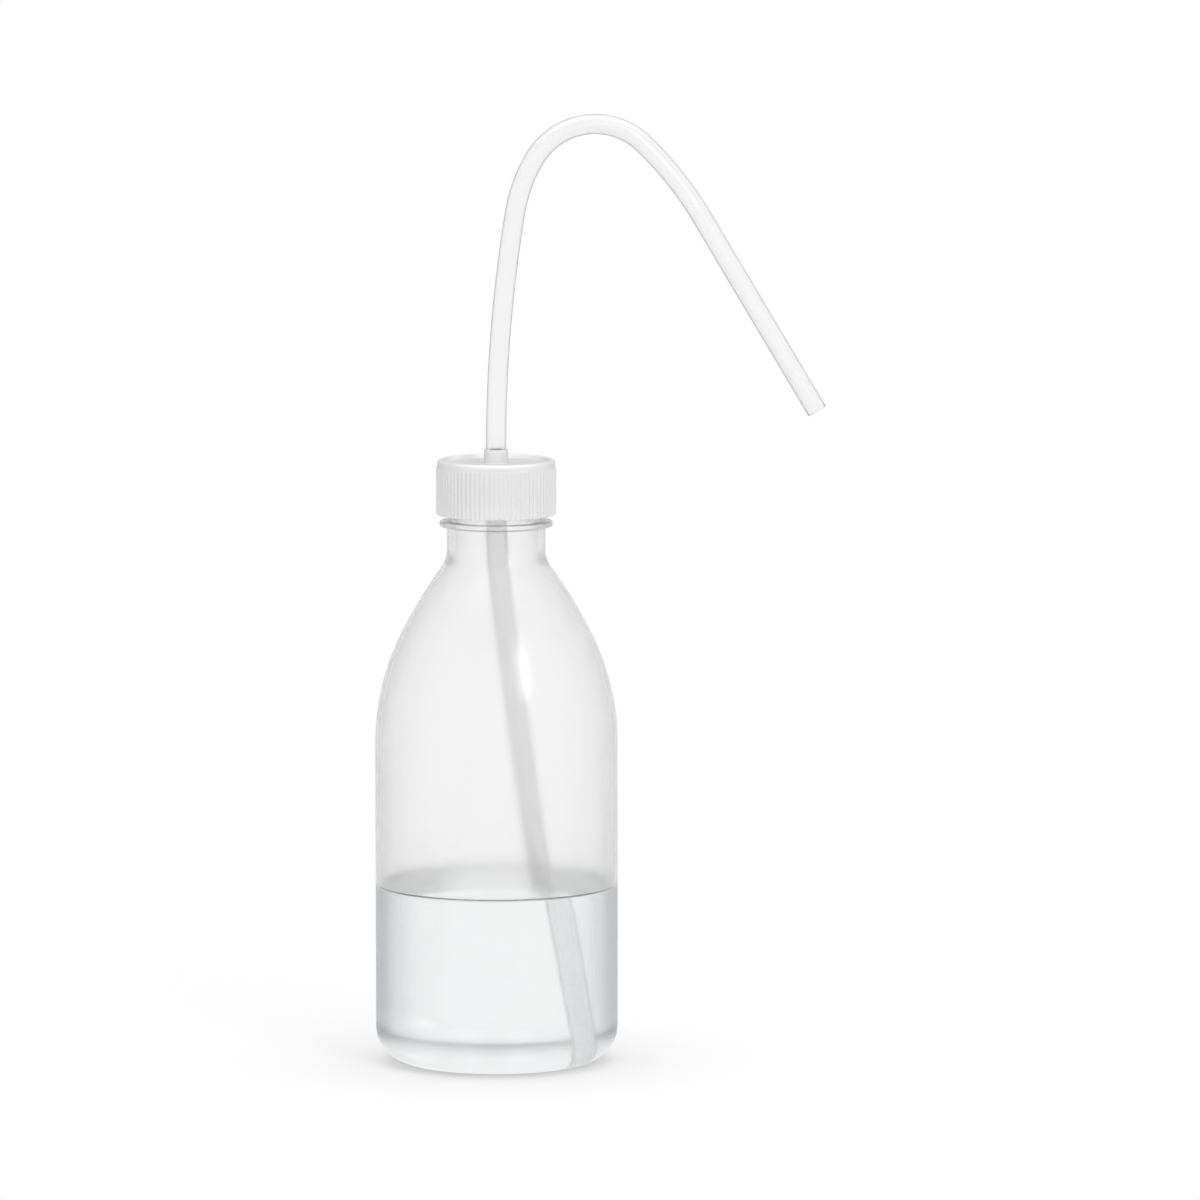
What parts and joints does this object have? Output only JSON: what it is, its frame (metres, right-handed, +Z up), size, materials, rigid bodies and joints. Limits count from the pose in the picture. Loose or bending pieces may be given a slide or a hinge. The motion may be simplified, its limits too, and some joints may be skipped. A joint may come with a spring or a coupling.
{
  "type": "laboratory wash bottle",
  "caption": "Narrow-neck squeeze wash bottle with a ribbed screw cap and a bent spray tube that reaches to its base, part filled with water.",
  "frame": {"origin": "middle of the base, in the plane that the bottle stands on", "axes": "+Z up along the bottle's axis, the spout points to +X"},
  "size_m": [0.139, 0.075, 0.2938],
  "materials": {
    "bottle_plastic": "soft translucent blown plastic, satin",
    "cap_plastic": "translucent moulded plastic, satin",
    "tube_plastic": "translucent drawn tube, smooth",
    "water": "clear liquid"
  },
  "bodies": {
    "bottle": {"bottle": "bottle_plastic", "water": "water"},
    "tube": {"spray_tube": "tube_plastic"},
    "cap": {"cap": "cap_plastic"}
  },
  "joints": [
    {"name": "tube_lift", "type": "slide", "parent": "bottle", "child": "tube", "axis": [0, 0, 1], "range_m": [0, 0.0079], "deforming": ["water"]},
    {"name": "cap_turn", "type": "hinge", "parent": "tube", "child": "cap", "pos_m": [0, 0, 0.18], "axis": [0, 0, 1], "range_deg": [0, 630]}
  ],
  "couplings": [
    {"joint": "tube_lift", "follows": "cap_turn", "m_per_rad": 0.0007162}
  ]
}
